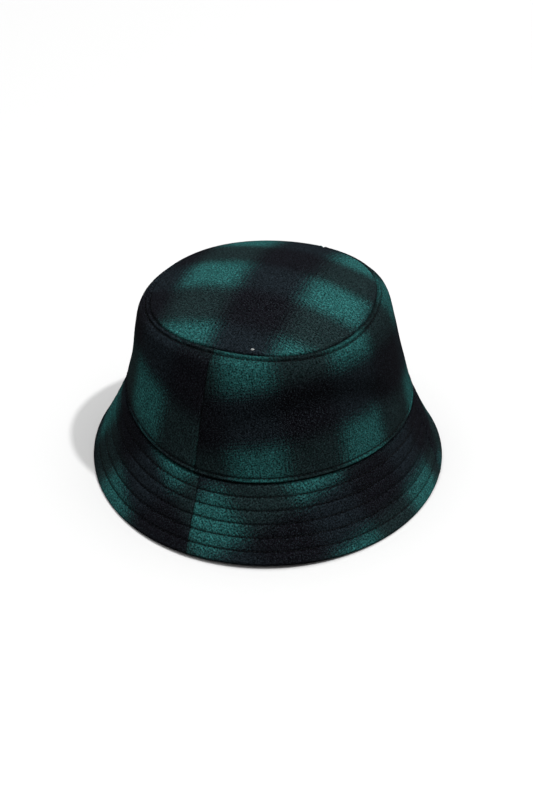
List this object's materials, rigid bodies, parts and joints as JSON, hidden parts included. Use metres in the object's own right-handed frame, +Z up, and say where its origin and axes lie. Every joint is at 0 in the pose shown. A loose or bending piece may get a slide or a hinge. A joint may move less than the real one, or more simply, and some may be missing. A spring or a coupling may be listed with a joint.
{
  "type": "bucket hat",
  "caption": "Soft bucket hat in brushed checked wool with a domed tip, tapered side band, steep row-stitched brim, lining, sweatband and a swinging care label.",
  "frame": {"origin": "on the floor under the middle of the crown, with the hat standing on the edge of its brim", "axes": "+Z up through the tip; azimuths run from +X towards +Y; the side band's seams are at 61 and 241 degrees, the wearer's back is at 151 degrees"},
  "size_m": [0.2332, 0.2427, 0.1405],
  "materials": {
    "wool_check": "brushed wool twill in a large blurred check of teal green and black",
    "canvas": "stiff woven interlining",
    "sweatband_twill": "black cotton twill",
    "lining_satin": "smooth black satin lining",
    "label_tape": "blank woven label tape",
    "thread": "black sewing thread"
  },
  "bodies": {
    "hat": {"crown_tip": "wool_check", "side_panel_front": "wool_check", "side_panel_back": "wool_check", "brim_top_left": "wool_check", "brim_top_front": "wool_check", "brim_top_back": "wool_check", "brim_under_left": "wool_check", "brim_under_front": "wool_check", "brim_under_back": "wool_check", "brim_interlining": "canvas", "sweatband": "sweatband_twill", "lining_side_front": "lining_satin", "lining_side_back": "lining_satin", "lining_tip": "lining_satin", "main_label": "label_tape", "tip_topstitch": "thread", "crown_base_topstitch": "thread", "sweatband_stitch": "thread", "brim_stitch_row_1": "thread", "brim_stitch_row_2": "thread", "brim_stitch_row_3": "thread", "brim_stitch_row_4": "thread", "brim_stitch_row_5": "thread"},
    "care_label": {"care_label": "label_tape"}
  },
  "joints": [
    {"name": "care_label_hinge", "type": "hinge", "parent": "hat", "child": "care_label", "pos_m": [0, 0.08288, 0.076], "axis": [-1, 0, 0], "range_deg": [-10, 165]}
  ]
}
